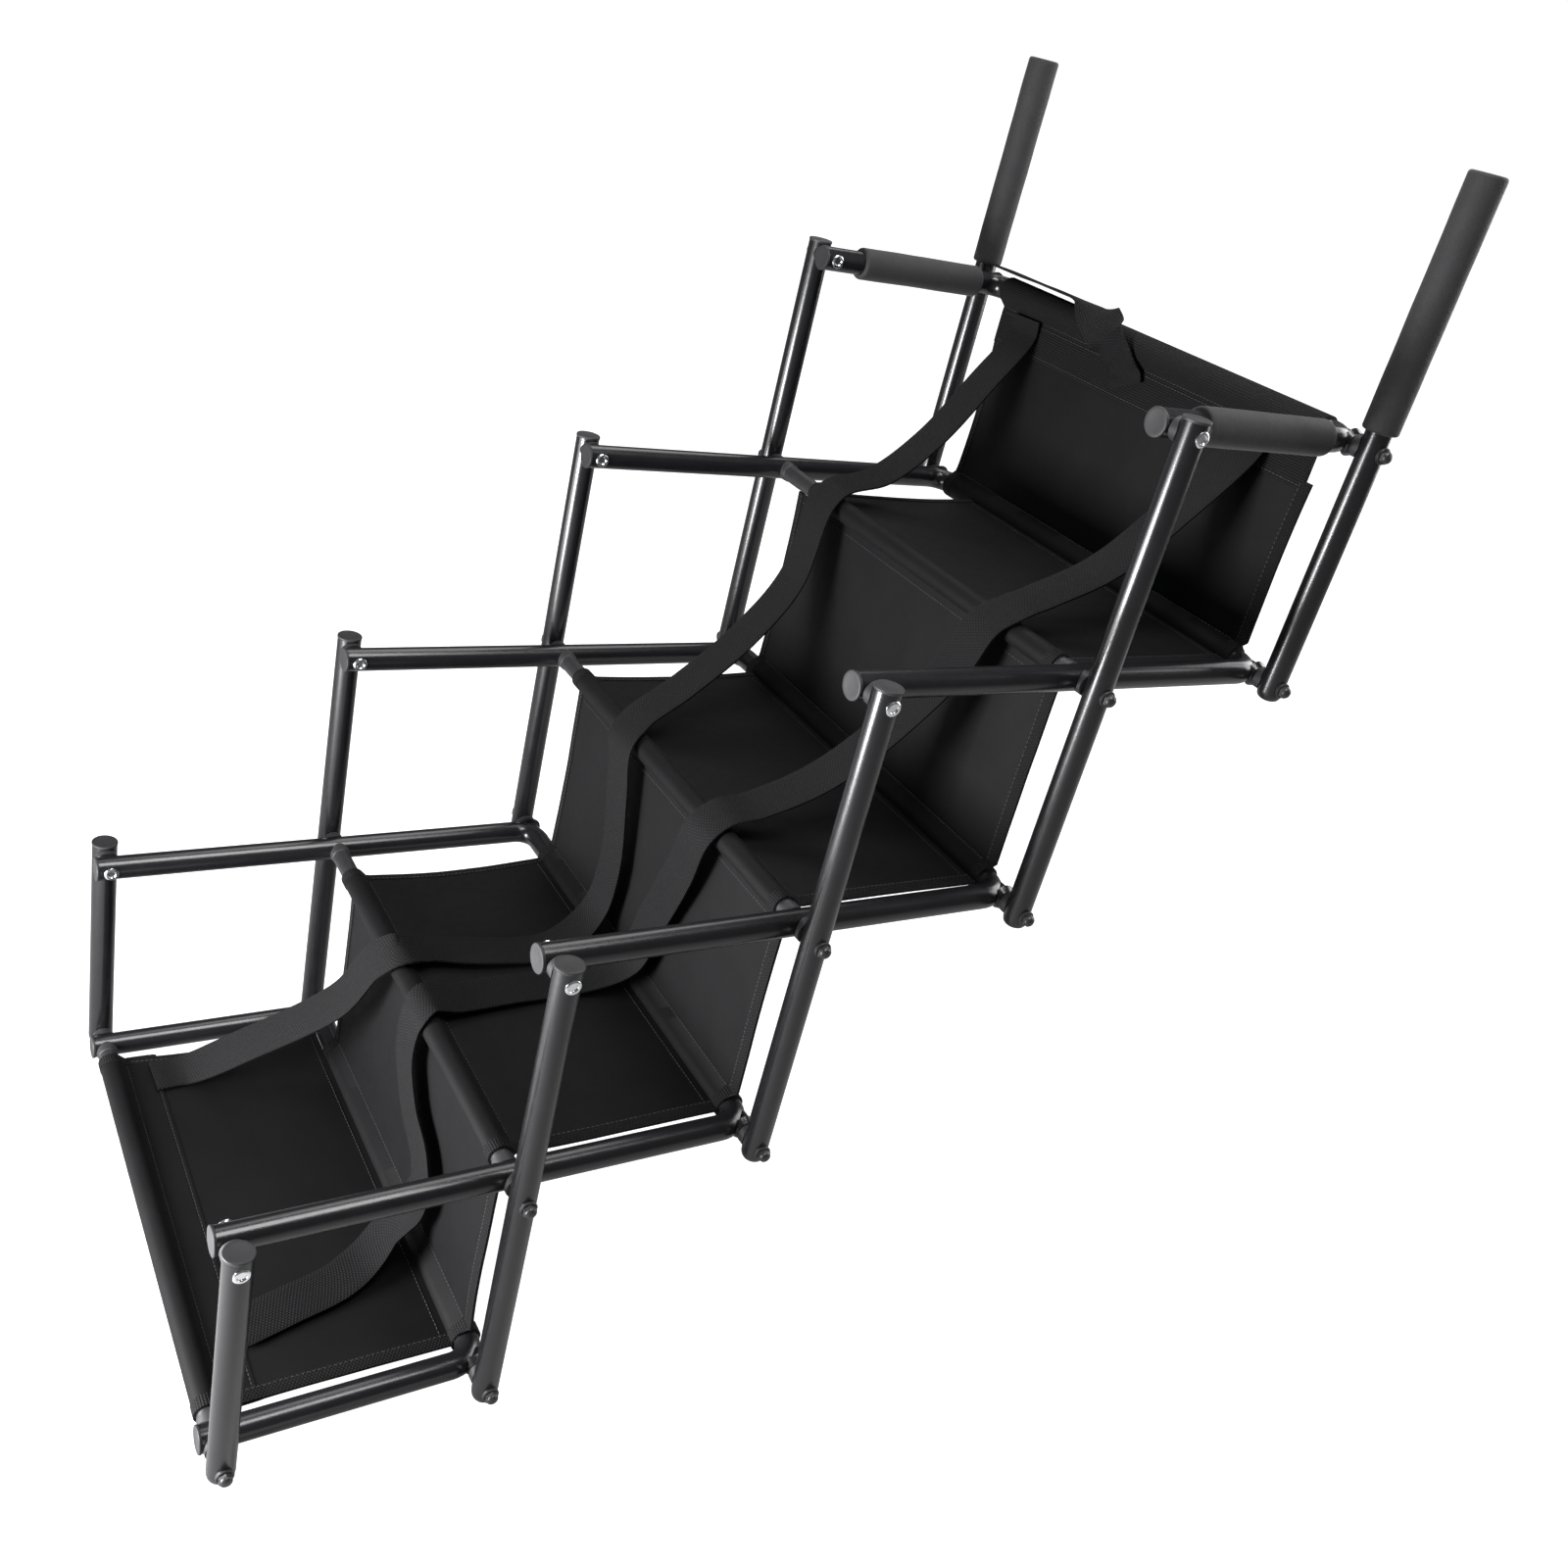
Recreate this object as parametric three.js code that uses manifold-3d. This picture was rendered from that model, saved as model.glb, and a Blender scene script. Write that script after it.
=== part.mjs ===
// Folding stair for a pet: five cells of a scissor linkage on each side, joined
// across by fabric treads and risers. Millimetres, +Z up, +X from the lowest
// tread to the top, +Y to the left of someone climbing it. The bounding box's
// bottom centre is the origin.
import * as THREE from "three";
import { mergeVertices } from "three/addons/utils/BufferGeometryUtils.js";
import Module from "manifold-3d";

const wasm = await Module();
wasm.setup();

// Driving dimensions.
const STEPS = 4;
const STEP_DEPTH = 153;
const STEP_RISE = 153;
const POST_Y = 192;
const RAIL_Y = 172.8;

const TUBE_R = 8;
const TUBE_BORE = 6.8;
const BEND_R = 15;
const ROD_R = 6;
const FOOT_DROP = 10;
const END_REACH = 9.2;
const CAP_FLANGE = 1.6;
const FIT_GAP = 0.3;

const SHANK_R = 3;
const PIVOT_HOLE_R = 3.18;
const OPEN_HOLE_R = 3.4;
const COLLAR_R = 7;
const BOSS_R = 6.5;
const HEAD_R = 5.2;
const HEAD_Y = 206;

const FOAM_R = 11;
const FABRIC_T = 1.2;
// How far each panel reaches to either side: the cloth is cut off-centre.
const TREAD_NEAR = 158;
const TREAD_FAR = [153, 133, 136, 122];
const RISER_NEAR = 162;
const RISER_FAR = [null, 128, 135, 143, 157];
const SLEEVE_HALF = 157;
const EDGE_PULL = 3;
const ROD_SLEEVE_R = 7.3;
const BAR_SLEEVE_R = 9.2;
const STRAP_W = 30;
const STRAP_T = 1.8;

const X_SHIFT = -(STEPS * STEP_DEPTH + FOAM_R - END_REACH) / 2;

const SIDES = 16;
const BORE_SIDES = 10;
const PIN_SIDES = 10;

const paint = new THREE.MeshStandardMaterial({ color: 0x26262a, roughness: 0.45, metalness: 0.4 });
const steel = new THREE.MeshStandardMaterial({ color: 0xd0d0d4, roughness: 0.25, metalness: 0.9 });
const blackSteel = new THREE.MeshStandardMaterial({ color: 0x1a1a1c, roughness: 0.4, metalness: 0.6 });
const plastic = new THREE.MeshStandardMaterial({ color: 0x2c2c2f, roughness: 0.6 });
const foam = new THREE.MeshStandardMaterial({ color: 0x333336, roughness: 0.95 });
const cloth = new THREE.MeshStandardMaterial({ color: 0x39393c, roughness: 0.85 });
const webbing = new THREE.MeshStandardMaterial({ color: 0x222224, roughness: 0.95 });

const stair = new THREE.Group();

// ---- solids -------------------------------------------------------------

function solid(geometry) {
  const bare = geometry.clone();
  bare.deleteAttribute("normal");
  bare.deleteAttribute("uv");
  const merged = mergeVertices(bare, 1e-4);
  return new wasm.Manifold(
    new wasm.Mesh({
      numProp: 3,
      vertProperties: merged.getAttribute("position").array,
      triVerts: new Uint32Array(merged.getIndex().array),
    }),
  );
}

function geometryOf(body) {
  const mesh = body.getMesh();
  const geometry = new THREE.BufferGeometry();
  geometry.setAttribute("position", new THREE.BufferAttribute(mesh.vertProperties, 3));
  geometry.setIndex(new THREE.BufferAttribute(mesh.triVerts, 1));
  geometry.computeVertexNormals();
  return geometry;
}

// A round bar along Y from y0 to y1, centred on (x, z).
function pinAlongY(radius, y0, y1, x = 0, z = 0, sides = PIN_SIDES) {
  const bar = new THREE.CylinderGeometry(radius, radius, y1 - y0, sides);
  return solid(bar.translate(x, (y0 + y1) / 2, z));
}

// A round bar along X or Z.
function barAlongX(radius, x0, x1, y) {
  const bar = new THREE.CylinderGeometry(radius, radius, x1 - x0, SIDES);
  return solid(bar.rotateZ(-Math.PI / 2).translate((x0 + x1) / 2, y, 0));
}

function barAlongZ(radius, z0, z1, y, sides = SIDES) {
  const bar = new THREE.CylinderGeometry(radius, radius, z1 - z0, sides);
  return solid(bar.rotateX(Math.PI / 2).translate(0, y, (z0 + z1) / 2));
}

// A solid turned about Z from a closed profile of [radius, z] pairs.
function turned(profile, y, sides = SIDES) {
  const points = profile.map(([r, z]) => new THREE.Vector2(r, z));
  return solid(new THREE.LatheGeometry(points, sides).rotateX(Math.PI / 2).translate(0, y, 0));
}

function block(x0, x1, y0, y1, z0, z1) {
  const box = new THREE.BoxGeometry(x1 - x0, y1 - y0, z1 - z0);
  return solid(box.translate((x0 + x1) / 2, (y0 + y1) / 2, (z0 + z1) / 2));
}

// ---- the bent tread frames ----------------------------------------------

// A curve that is sampled exactly at its own stations.
class StationCurve extends THREE.Curve {
  constructor(points, tangents) {
    super();
    this.points = points;
    this.tangents = tangents;
  }
  getPoint(t) {
    return this.points[Math.round(t * (this.points.length - 1))].clone();
  }
  getPointAt(u) {
    return this.getPoint(u);
  }
  getTangentAt(u) {
    return this.tangents[Math.round(u * (this.points.length - 1))].clone();
  }
}

// The U shape: in along the rail at +Y, round the bend, across, and back out.
function frameSweep(radius, sides, xFront, xBar) {
  const bendSteps = 3;
  const points = [new THREE.Vector3(xFront, RAIL_Y, 0)];
  const tangents = [new THREE.Vector3(1, 0, 0)];
  for (const side of [1, -1]) {
    for (let k = 0; k <= bendSteps; k += 1) {
      const turn = (side > 0 ? k : bendSteps - k) / bendSteps;
      const angle = (turn * Math.PI) / 2;
      const x = xBar - BEND_R + BEND_R * Math.sin(angle);
      const y = side * (RAIL_Y - BEND_R + BEND_R * Math.cos(angle));
      points.push(new THREE.Vector3(x, y, 0));
      tangents.push(new THREE.Vector3(side * Math.cos(angle), -Math.sin(angle), 0));
    }
  }
  points.push(new THREE.Vector3(xFront, -RAIL_Y, 0));
  tangents.push(new THREE.Vector3(-1, 0, 0));
  const ring = new THREE.Shape();
  ring.absarc(0, 0, radius, 0, 2 * Math.PI, false);
  const sweep = new THREE.ExtrudeGeometry(ring, {
    steps: points.length - 1,
    curveSegments: sides / 2,
    extrudePath: new StationCurve(points, tangents),
  });
  return solid(sweep);
}

// One bent frame: closed front ends, a boss on each bend, and its pivot holes.
function treadFrame(xFront, xBar, holes) {
  let body = frameSweep(TUBE_R, SIDES, xFront, xBar);
  for (const side of [1, -1]) {
    const ys = [side * 160, side * (POST_Y - TUBE_R - 3.2)].sort((p, q) => p - q);
    body = body.add(pinAlongY(BOSS_R, ys[0], ys[1], xBar));
  }
  body = body.subtract(frameSweep(TUBE_BORE, BORE_SIDES, xFront + 2.5, xBar));
  for (const side of [1, -1]) {
    for (const [x, radius] of [...holes, [xBar, PIVOT_HOLE_R]]) {
      const ys = [side * 150, side * POST_Y].sort((p, q) => p - q);
      body = body.subtract(pinAlongY(radius, ys[0], ys[1], x));
    }
  }
  return geometryOf(body);
}

// ---- posts, caps, pins and rods (built at +Y, mirrored for -Y) -----------

// A post from its rounded, flat-bottomed foot up to zTop.
function post(zFoot, zTop, holes) {
  const outer = turned(
    [
      [0, zFoot - FOOT_DROP],
      [4.5, zFoot - FOOT_DROP],
      [6.6, zFoot - FOOT_DROP + 1.2],
      [7.7, zFoot - FOOT_DROP + 3.4],
      [TUBE_R, zFoot - FOOT_DROP + 6],
      [TUBE_R, zTop],
      [0, zTop],
    ],
    POST_Y,
  );
  const bore = barAlongZ(TUBE_BORE, zFoot - FOOT_DROP + 6, zTop + 5, POST_Y, BORE_SIDES);
  let body = outer.subtract(bore);
  for (const z of holes) {
    body = body.subtract(pinAlongY(PIVOT_HOLE_R, POST_Y - 12, POST_Y + 12, 0, z));
  }
  return geometryOf(body);
}

function postCap() {
  const z = STEP_RISE + END_REACH - CAP_FLANGE;
  const body = turned(
    [
      [0, z - 3.8],
      [TUBE_BORE - 0.8, z - 3.8],
      [TUBE_BORE - 0.8, z],
      [TUBE_R, z],
      [TUBE_R, z + CAP_FLANGE - 0.6],
      [TUBE_R - 0.8, z + CAP_FLANGE],
      [0, z + CAP_FLANGE],
    ],
    POST_Y,
  );
  return geometryOf(body);
}

// A collar that saddles the post and runs flat against the rail or the boss.
function postCollar() {
  return pinAlongY(COLLAR_R, POST_Y - TUBE_R - 2.9, POST_Y - 2).subtract(
    barAlongZ(TUBE_R + FIT_GAP, -20, 20, POST_Y),
  );
}

// A tubular rivet at a post's top: post and rail end turn on it.
function topRivet() {
  const inner = RAIL_Y - TUBE_R - FIT_GAP;
  const outer = POST_Y + TUBE_R + FIT_GAP;
  let body = pinAlongY(SHANK_R, inner - 0.6, outer + 0.6).add(postCollar());
  body = body.add(pinAlongY(4.3, outer, outer + 1));
  body = body.add(pinAlongY(4.3, inner - 1, inner));
  body = body.subtract(pinAlongY(1.9, outer - 4, outer + 3, 0, 0, 6));
  body = body.subtract(pinAlongY(1.9, inner - 3, inner + 4, 0, 0, 6));
  return geometryOf(body);
}

function boltHead() {
  const y = POST_Y + TUBE_R + FIT_GAP;
  return pinAlongY(HEAD_R, y, y + 1.2, 0, 0, 12).add(pinAlongY(4.3, y + 1, HEAD_Y, 0, 0, 6));
}

// The bolt that holds a post to the boss on a frame's bend.
function bendBolt() {
  const body = pinAlongY(SHANK_R, 152, POST_Y + TUBE_R + 2).add(postCollar());
  return geometryOf(body.add(boltHead()));
}

// The cross rod through both rails and both posts of one cell.
function crossRod() {
  let body = pinAlongY(SHANK_R, -(POST_Y + TUBE_R + 2), POST_Y + TUBE_R + 2);
  const inside = RAIL_Y - 2;
  let thick = pinAlongY(ROD_R, -inside, inside, 0, 0, SIDES);
  for (const side of [1, -1]) {
    const ys = [side * (RAIL_Y + 2), side * (POST_Y - TUBE_R - FIT_GAP)].sort((p, q) => p - q);
    thick = thick.add(pinAlongY(COLLAR_R, ys[0], ys[1]));
  }
  for (const side of [1, -1]) {
    thick = thick.subtract(barAlongX(TUBE_R + FIT_GAP, -20, 20, side * RAIL_Y));
  }
  body = body.add(thick).add(boltHead());
  return geometryOf(body.add(solid(mirrorY(geometryOf(boltHead())))));
}

function mirrorY(geometry) {
  const flipped = geometry.clone().scale(1, -1, 1);
  const index = flipped.getIndex().array;
  for (let k = 0; k < index.length; k += 3) {
    const first = index[k];
    index[k] = index[k + 1];
    index[k + 1] = first;
  }
  return flipped;
}

function railFoam() {
  const length = STEP_DEPTH - 46.4;
  const x0 = -STEP_DEPTH + 24;
  const sleeve = barAlongX(FOAM_R, x0, x0 + length, RAIL_Y);
  return geometryOf(sleeve.subtract(barAlongX(TUBE_R + 0.1, x0 - 5, x0 + length + 5, RAIL_Y)));
}

// The grip on a top post is closed over the tube's open end.
function postFoam(zTop) {
  const sleeve = turned(
    [
      [0, 11.5],
      [FOAM_R, 11.5],
      [FOAM_R, zTop - 1.5],
      [FOAM_R - 1.5, zTop],
      [0, zTop],
    ],
    POST_Y,
  );
  return geometryOf(sleeve.subtract(barAlongZ(TUBE_R + 0.1, 5, zTop - 3.5, POST_Y)));
}

// ---- fabric ---------------------------------------------------------------

// A flat panel whose two side edges are drawn in towards the middle. It runs
// along X from x0 to x1, and along Y from -near to far, with the near corner
// cut back where it would meet the frame's bend.
function panel(x0, x1, near, far) {
  const shape = new THREE.Shape();
  const mid = (x0 + x1) / 2;
  const corner = Math.max(near - SLEEVE_HALF, 0);
  shape.moveTo(x0, corner - near);
  shape.lineTo(x0 + corner, -near);
  shape.quadraticCurveTo(mid, -near + 2 * EDGE_PULL, x1, -near);
  shape.lineTo(x1, far);
  shape.quadraticCurveTo(mid, far - 2 * EDGE_PULL, x0, far);
  const sheet = new THREE.ExtrudeGeometry(shape, {
    depth: FABRIC_T,
    bevelEnabled: false,
    curveSegments: 6,
  });
  return solid(sheet.translate(0, 0, -FABRIC_T / 2));
}

// A sleeve round a bar, as wide as its panel but clear of the frame's bends.
function sleeve(outer, bore, x, near, far) {
  const y0 = -Math.min(near, SLEEVE_HALF);
  const y1 = Math.min(far, SLEEVE_HALF);
  return pinAlongY(outer, y0, y1, x, 0, SIDES).subtract(
    pinAlongY(bore, y0 - 5, y1 + 5, x, 0, SIDES),
  );
}

function tread(far) {
  const reach = STEP_DEPTH - BAR_SLEEVE_R - 0.4;
  const body = panel(ROD_SLEEVE_R - 0.5, reach, TREAD_NEAR, far);
  return geometryOf(body.add(sleeve(ROD_SLEEVE_R, ROD_R + FIT_GAP, 0, TREAD_NEAR, far)));
}

// Built lying along X like a tread, then stood up to hang below its rod.
function riser(far) {
  const body = panel(-STEP_RISE + BAR_SLEEVE_R - 0.5, -ROD_SLEEVE_R - 0.4, RISER_NEAR, far);
  const round = sleeve(BAR_SLEEVE_R, TUBE_R + FIT_GAP, -STEP_RISE, RISER_NEAR, far);
  return geometryOf(body.add(round)).rotateY(-Math.PI / 2);
}

// The top riser wraps both the bar below it and the top frame's bar, with a
// doubled hem.
function topRiser(far) {
  let body = panel(-STEP_RISE + BAR_SLEEVE_R - 0.5, -BAR_SLEEVE_R + 0.5, RISER_NEAR, far);
  body = body.add(block(-38, -BAR_SLEEVE_R + 0.5, -SLEEVE_HALF, SLEEVE_HALF, -1.3, 1.3));
  for (const x of [-STEP_RISE, 0]) {
    body = body.add(sleeve(BAR_SLEEVE_R, TUBE_R + FIT_GAP, x, RISER_NEAR, far));
  }
  return geometryOf(body).rotateY(-Math.PI / 2);
}

// A webbing strap: a flat box bent along a smooth line through its points.
// Each point is [x, y, z], or [x, y, z, side] with the direction of its width.
function strap(points, width, lengths) {
  const line = new THREE.CatmullRomCurve3(
    points.map(([x, y, z]) => new THREE.Vector3(x, y, z)),
    false,
    "centripetal",
  );
  const box = new THREE.BoxGeometry(1, width, STRAP_T, lengths, 1, 1);
  const position = box.getAttribute("position");
  for (let k = 0; k < position.count; k += 1) {
    const t = position.getX(k) + 0.5;
    const at = line.getPoint(t);
    const along = line.getTangent(t);
    const step = Math.min(Math.floor(t * (points.length - 1)), points.length - 2);
    const share = t * (points.length - 1) - step;
    const from = points[step][3] ?? [0, 1, 0];
    const to = points[step + 1][3] ?? [0, 1, 0];
    const across = new THREE.Vector3(...from).lerp(new THREE.Vector3(...to), share);
    across.addScaledVector(along, -across.dot(along)).normalize();
    const up = new THREE.Vector3().crossVectors(along, across);
    at.addScaledVector(across, position.getY(k)).addScaledVector(up, position.getZ(k));
    position.setXYZ(k, at.x, at.y, at.z);
  }
  return box;
}

// The left carrying strap, from the lowest tread's hem over each nosing.
const LEFT_STRAP = [
  [24, 127, 3.4],
  [46.3, 127, 5.5],
  [81.3, 100, 43.6],
  [126, 60, 104],
  [141.2, 38, 152],
  [153, 28, 165],
  [172.7, 33, 160],
  [210.8, 26, 157],
  [259, 21, 158],
  [289.1, 28, 176],
  [294.2, 25, 220],
  [293.1, 34, 275],
  [293.6, 42, 306],
  [306, 50, 318.4],
  [340, 58, 337],
  [389, 71, 369],
  [428, 84, 408],
  [445, 95, 460],
  [459, 100, 471.4],
  [496, 104, 480],
  [538, 110.5, 509],
  [578, 118, 553],
  [607.7, 124, 588],
  [607.7, 124.5, 600],
];

const RIGHT_STRAP = [
  [26.1, -109, 3.4],
  [57, -101, 3.6],
  [92, -92, 4.5],
  [112, -82, 9],
  [127, -74, 20],
  [137, -75, 34],
  [141, -83, 60],
  [142, -73, 79],
  [142, -48, 95],
  [142, -29, 122],
  [142.6, -27, 146],
  [145, -28, 158],
  [153, -25, 165],
  [172.7, -22, 160],
  [210.8, -18, 157],
  [259, -19, 158],
  [289.1, -30, 178],
  [294.2, -42, 220],
  [293.1, -62, 270],
  [293.6, -72, 306],
  [306, -73, 318.4],
  [327.4, -76, 324.5],
  [363, -81, 342],
  [393, -86.5, 369.5],
  [433, -96, 427],
  [445, -100, 460],
  [459, -104, 471.4],
  [481, -105, 480.5],
  [525, -106, 501.5],
  [566, -108, 541],
  [601, -109.5, 580],
  [607.7, -110, 594],
];

// The closing strap: out of the hem's middle, over the top bar and along it.
const CLOSING_STRAP = [
  [608.4, 9, 586],
  [607.6, 13, 594],
  [603, 19, 603],
  [599.6, 30, 612],
  [601.8, 46, 620.4, [-0.55, 0.4, -0.65]],
  [607, 62, 624, [-0.86, 0.33, -0.35]],
  [608, 80, 625.7, [-0.985, 0, 0]],
  [608, 105, 625.7, [-0.985, 0, 0.17]],
  [608, 135, 625.7, [-0.985, 0, 0.17]],
  [608, 160, 624.9, [-0.985, 0, 0.17]],
];

// ---- placing --------------------------------------------------------------

function place(name, geometry, material, cell = null, mirrored = false) {
  const mesh = new THREE.Mesh(geometry, material);
  mesh.name = name;
  const [x, z] = cell ?? [0, 0];
  mesh.position.set(x + X_SHIFT, 0, z + FOOT_DROP);
  mesh.scale.set(1, mirrored ? -1 : 1, 1);
  stair.add(mesh);
}

function placePair(name, geometry, material, cell) {
  place(name + "_l", geometry, material, cell);
  place(name + "_r", geometry, material, cell, true);
}

// Pivot of a cell: where its level rail crosses its upright post.
const cellAt = (i) => [i * STEP_DEPTH, i * STEP_RISE];
const above = ([x, z]) => [x, z + STEP_RISE];
const below = ([x, z]) => [x, z - STEP_RISE];

const railEnd = -STEP_DEPTH - END_REACH;
const openHole = [-STEP_DEPTH, OPEN_HOLE_R];
const midHole = [0, PIVOT_HOLE_R];
const fullFrame = treadFrame(railEnd, STEP_DEPTH, [openHole, midHole]);

place("frame_0", treadFrame(-END_REACH, STEP_DEPTH, [midHole]), paint, cellAt(0));
for (let i = 1; i < STEPS; i += 1) {
  place("frame_" + i, fullFrame, paint, cellAt(i));
}
place("frame_4", treadFrame(railEnd, 0, [openHole]), paint, cellAt(STEPS));

const tubeTop = STEP_RISE + END_REACH - CAP_FLANGE - FIT_GAP;
const gripTop = 155;
placePair("post_0", post(0, tubeTop, [0, STEP_RISE]), paint, cellAt(0));
const fullPost = post(-STEP_RISE, tubeTop, [-STEP_RISE, 0, STEP_RISE]);
for (let i = 1; i < STEPS; i += 1) {
  placePair("post_" + i, fullPost, paint, cellAt(i));
}
const topPost = post(-STEP_RISE, gripTop - 4, [-STEP_RISE, 0]);
placePair("post_4", topPost, paint, cellAt(STEPS));

const cap = postCap();
const rivet = topRivet();
const bolt = bendBolt();
const rod = crossRod();
for (let i = 0; i < STEPS; i += 1) {
  place("cross_rod_" + i, rod, blackSteel, cellAt(i));
  placePair("post_cap_" + i, cap, plastic, cellAt(i));
  placePair("rivet_" + i, rivet, steel, above(cellAt(i)));
  placePair("foot_bolt_" + (i + 1), bolt, blackSteel, below(cellAt(i + 1)));
}
placePair("top_bolt", bolt, blackSteel, cellAt(STEPS));

placePair("rail_foam", railFoam(), foam, cellAt(STEPS));
placePair("post_foam", postFoam(gripTop), foam, cellAt(STEPS));

for (let i = 0; i < STEPS; i += 1) {
  place("tread_" + i, tread(TREAD_FAR[i]), cloth, cellAt(i));
}
for (let i = 1; i < STEPS; i += 1) {
  place("riser_" + i, riser(RISER_FAR[i]), cloth, cellAt(i));
}
place("riser_4", topRiser(RISER_FAR[STEPS]), cloth, cellAt(STEPS));

place("carry_strap_l", strap(LEFT_STRAP, STRAP_W, 46), webbing);
place("carry_strap_r", strap(RIGHT_STRAP, STRAP_W, 62), webbing);
place("closing_strap", strap(CLOSING_STRAP, STRAP_W, 45), webbing);

export default stair;
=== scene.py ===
"""Looks for the folding pet stair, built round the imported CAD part.

Shapes are worked out in millimetres from the lowest cross rod's axis, as in
part.mjs, and piece() turns them into the row frame's metres.
"""

import math

import bmesh
import bpy
import numpy as np
from mathutils import Euler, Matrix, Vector, noise


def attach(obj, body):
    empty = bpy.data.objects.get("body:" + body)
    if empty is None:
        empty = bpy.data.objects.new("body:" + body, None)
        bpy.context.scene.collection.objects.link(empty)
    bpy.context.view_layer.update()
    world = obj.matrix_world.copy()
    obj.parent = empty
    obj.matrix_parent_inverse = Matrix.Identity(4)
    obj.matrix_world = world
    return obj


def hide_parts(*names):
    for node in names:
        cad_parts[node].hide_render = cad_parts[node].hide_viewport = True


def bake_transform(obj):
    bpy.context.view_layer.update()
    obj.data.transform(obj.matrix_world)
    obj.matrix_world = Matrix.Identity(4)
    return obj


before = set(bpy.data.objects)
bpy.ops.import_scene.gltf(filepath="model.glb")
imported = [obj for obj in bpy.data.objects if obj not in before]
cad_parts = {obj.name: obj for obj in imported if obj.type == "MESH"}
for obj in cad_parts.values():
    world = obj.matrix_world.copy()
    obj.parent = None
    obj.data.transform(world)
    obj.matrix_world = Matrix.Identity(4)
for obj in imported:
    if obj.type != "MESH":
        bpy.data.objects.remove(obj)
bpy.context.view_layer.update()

# ---- sizes, in millimetres, as in part.mjs ---------------------------------

MM = 0.001
STEPS = 4
STEP = 153.0
ORIGIN = np.array((-306.9, 0.0, 10.0))
POST_Y = 192.0
RAIL_Y = 172.8
TUBE_R = 8.0
BEND_R = 15.0
ROD_R = 6.0
FOOT_DROP = 10.0
END_REACH = 9.2
CAP_FLANGE = 1.6
COLLAR_R = 7.0
BOSS_R = 6.5
HEAD_R = 5.2
HEAD_Y = 206.0
FOAM_R = 11.0
GRIP_TOP = 155.0
RAIL_GRIP = (24.0, 130.6)
HAND_GRIP_LOW = 11.5
SHANK_R = 2.9
BOLT_START_Y = 152.0
SADDLE_GAP = 0.15

TREAD_NEAR = 158.0
TREAD_FAR = (153.0, 133.0, 136.0, 122.0)
RISER_NEAR = 162.0
RISER_FAR = (0.0, 128.0, 135.0, 143.0, 157.0)
SLEEVE_HALF = 157.0
HALF_CLOTH = 0.6
EDGE_PULL = 3.0
ROD_SLEEVE_R = 7.3
BAR_SLEEVE_R = 9.2
SEAM_STEP = 2.6
FRONT_HEM = 29.0
TOP_HEM = 38.0
NEAR_BINDING = 8.5
FAR_BINDING = 5.5
STRAP_W = 30.0
STRAP_T = 1.8

X, Y, Z = np.eye(3)


def row(points):
    """Millimetres from the lowest rod's axis to metres in the row frame."""
    return (np.asarray(points, float) + ORIGIN) * MM


# ---- camera ----------------------------------------------------------------

CAMERA_AT = (-0.46462, -0.72834, 0.76979)
CAMERA_TURN = (62.111, -13.189, -30.747)
LENS_MM = 33.942

camera_data = bpy.data.cameras.new("camera")
camera_data.lens = LENS_MM
camera_data.sensor_width = 36.0
camera_data.clip_start = 0.01
camera = bpy.data.objects.new("camera", camera_data)
camera.location = CAMERA_AT
camera.rotation_euler = Euler([math.radians(turn) for turn in CAMERA_TURN], "XYZ")
bpy.context.scene.collection.objects.link(camera)
bpy.context.scene.camera = camera

# ---- materials -------------------------------------------------------------


class Nodes:
    """A small helper for wiring one material's nodes."""

    def __init__(self, name):
        self.material = bpy.data.materials.new(name)
        self.material.use_nodes = True
        self.tree = self.material.node_tree
        self.shader = self.tree.nodes["Principled BSDF"]

    def set(self, **sockets):
        for name, value in sockets.items():
            self.shader.inputs[name.replace("_", " ")].default_value = value

    def node(self, kind, inputs=(), **settings):
        made = self.tree.nodes.new(kind)
        for name, value in settings.items():
            setattr(made, name, value)
        for name, value in dict(inputs).items():
            if isinstance(value, bpy.types.NodeSocket):
                self.tree.links.new(value, made.inputs[name])
            else:
                made.inputs[name].default_value = value
        return made

    def math(self, operation, first, second=0.0):
        return self.node("ShaderNodeMath", {0: first, 1: second}, operation=operation).outputs[0]

    def place(self):
        return self.node("ShaderNodeTexCoord").outputs["Object"]

    def weave_place(self):
        """The piece's own cloth coordinates: metres along it and across it."""
        pin = self.node("ShaderNodeUVMap", uv_map="weave").outputs[0]
        split = self.node("ShaderNodeSeparateXYZ", {0: pin})
        return split.outputs[0], split.outputs[1]

    def noise(self, scale, detail=2.0):
        inputs = {"Vector": self.place(), "Scale": scale, "Detail": detail}
        return self.node("ShaderNodeTexNoise", inputs).outputs["Fac"]

    def spread(self, value, low, high, start=0.0, end=1.0):
        inputs = {0: value, 1: start, 2: end, 3: low, 4: high}
        return self.node("ShaderNodeMapRange", inputs).outputs[0]

    def tint(self, value, dark, light):
        ramp = self.node("ShaderNodeValToRGB", {0: value})
        ramp.color_ramp.elements[0].color = (*dark, 1)
        ramp.color_ramp.elements[1].color = (*light, 1)
        self.link(ramp.outputs[0], "Base Color")

    def link(self, output, socket):
        self.tree.links.new(output, self.shader.inputs[socket])

    def bump(self, height, strength, distance):
        inputs = {"Height": height, "Strength": strength, "Distance": distance}
        self.link(self.node("ShaderNodeBump", inputs).outputs[0], "Normal")


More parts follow.
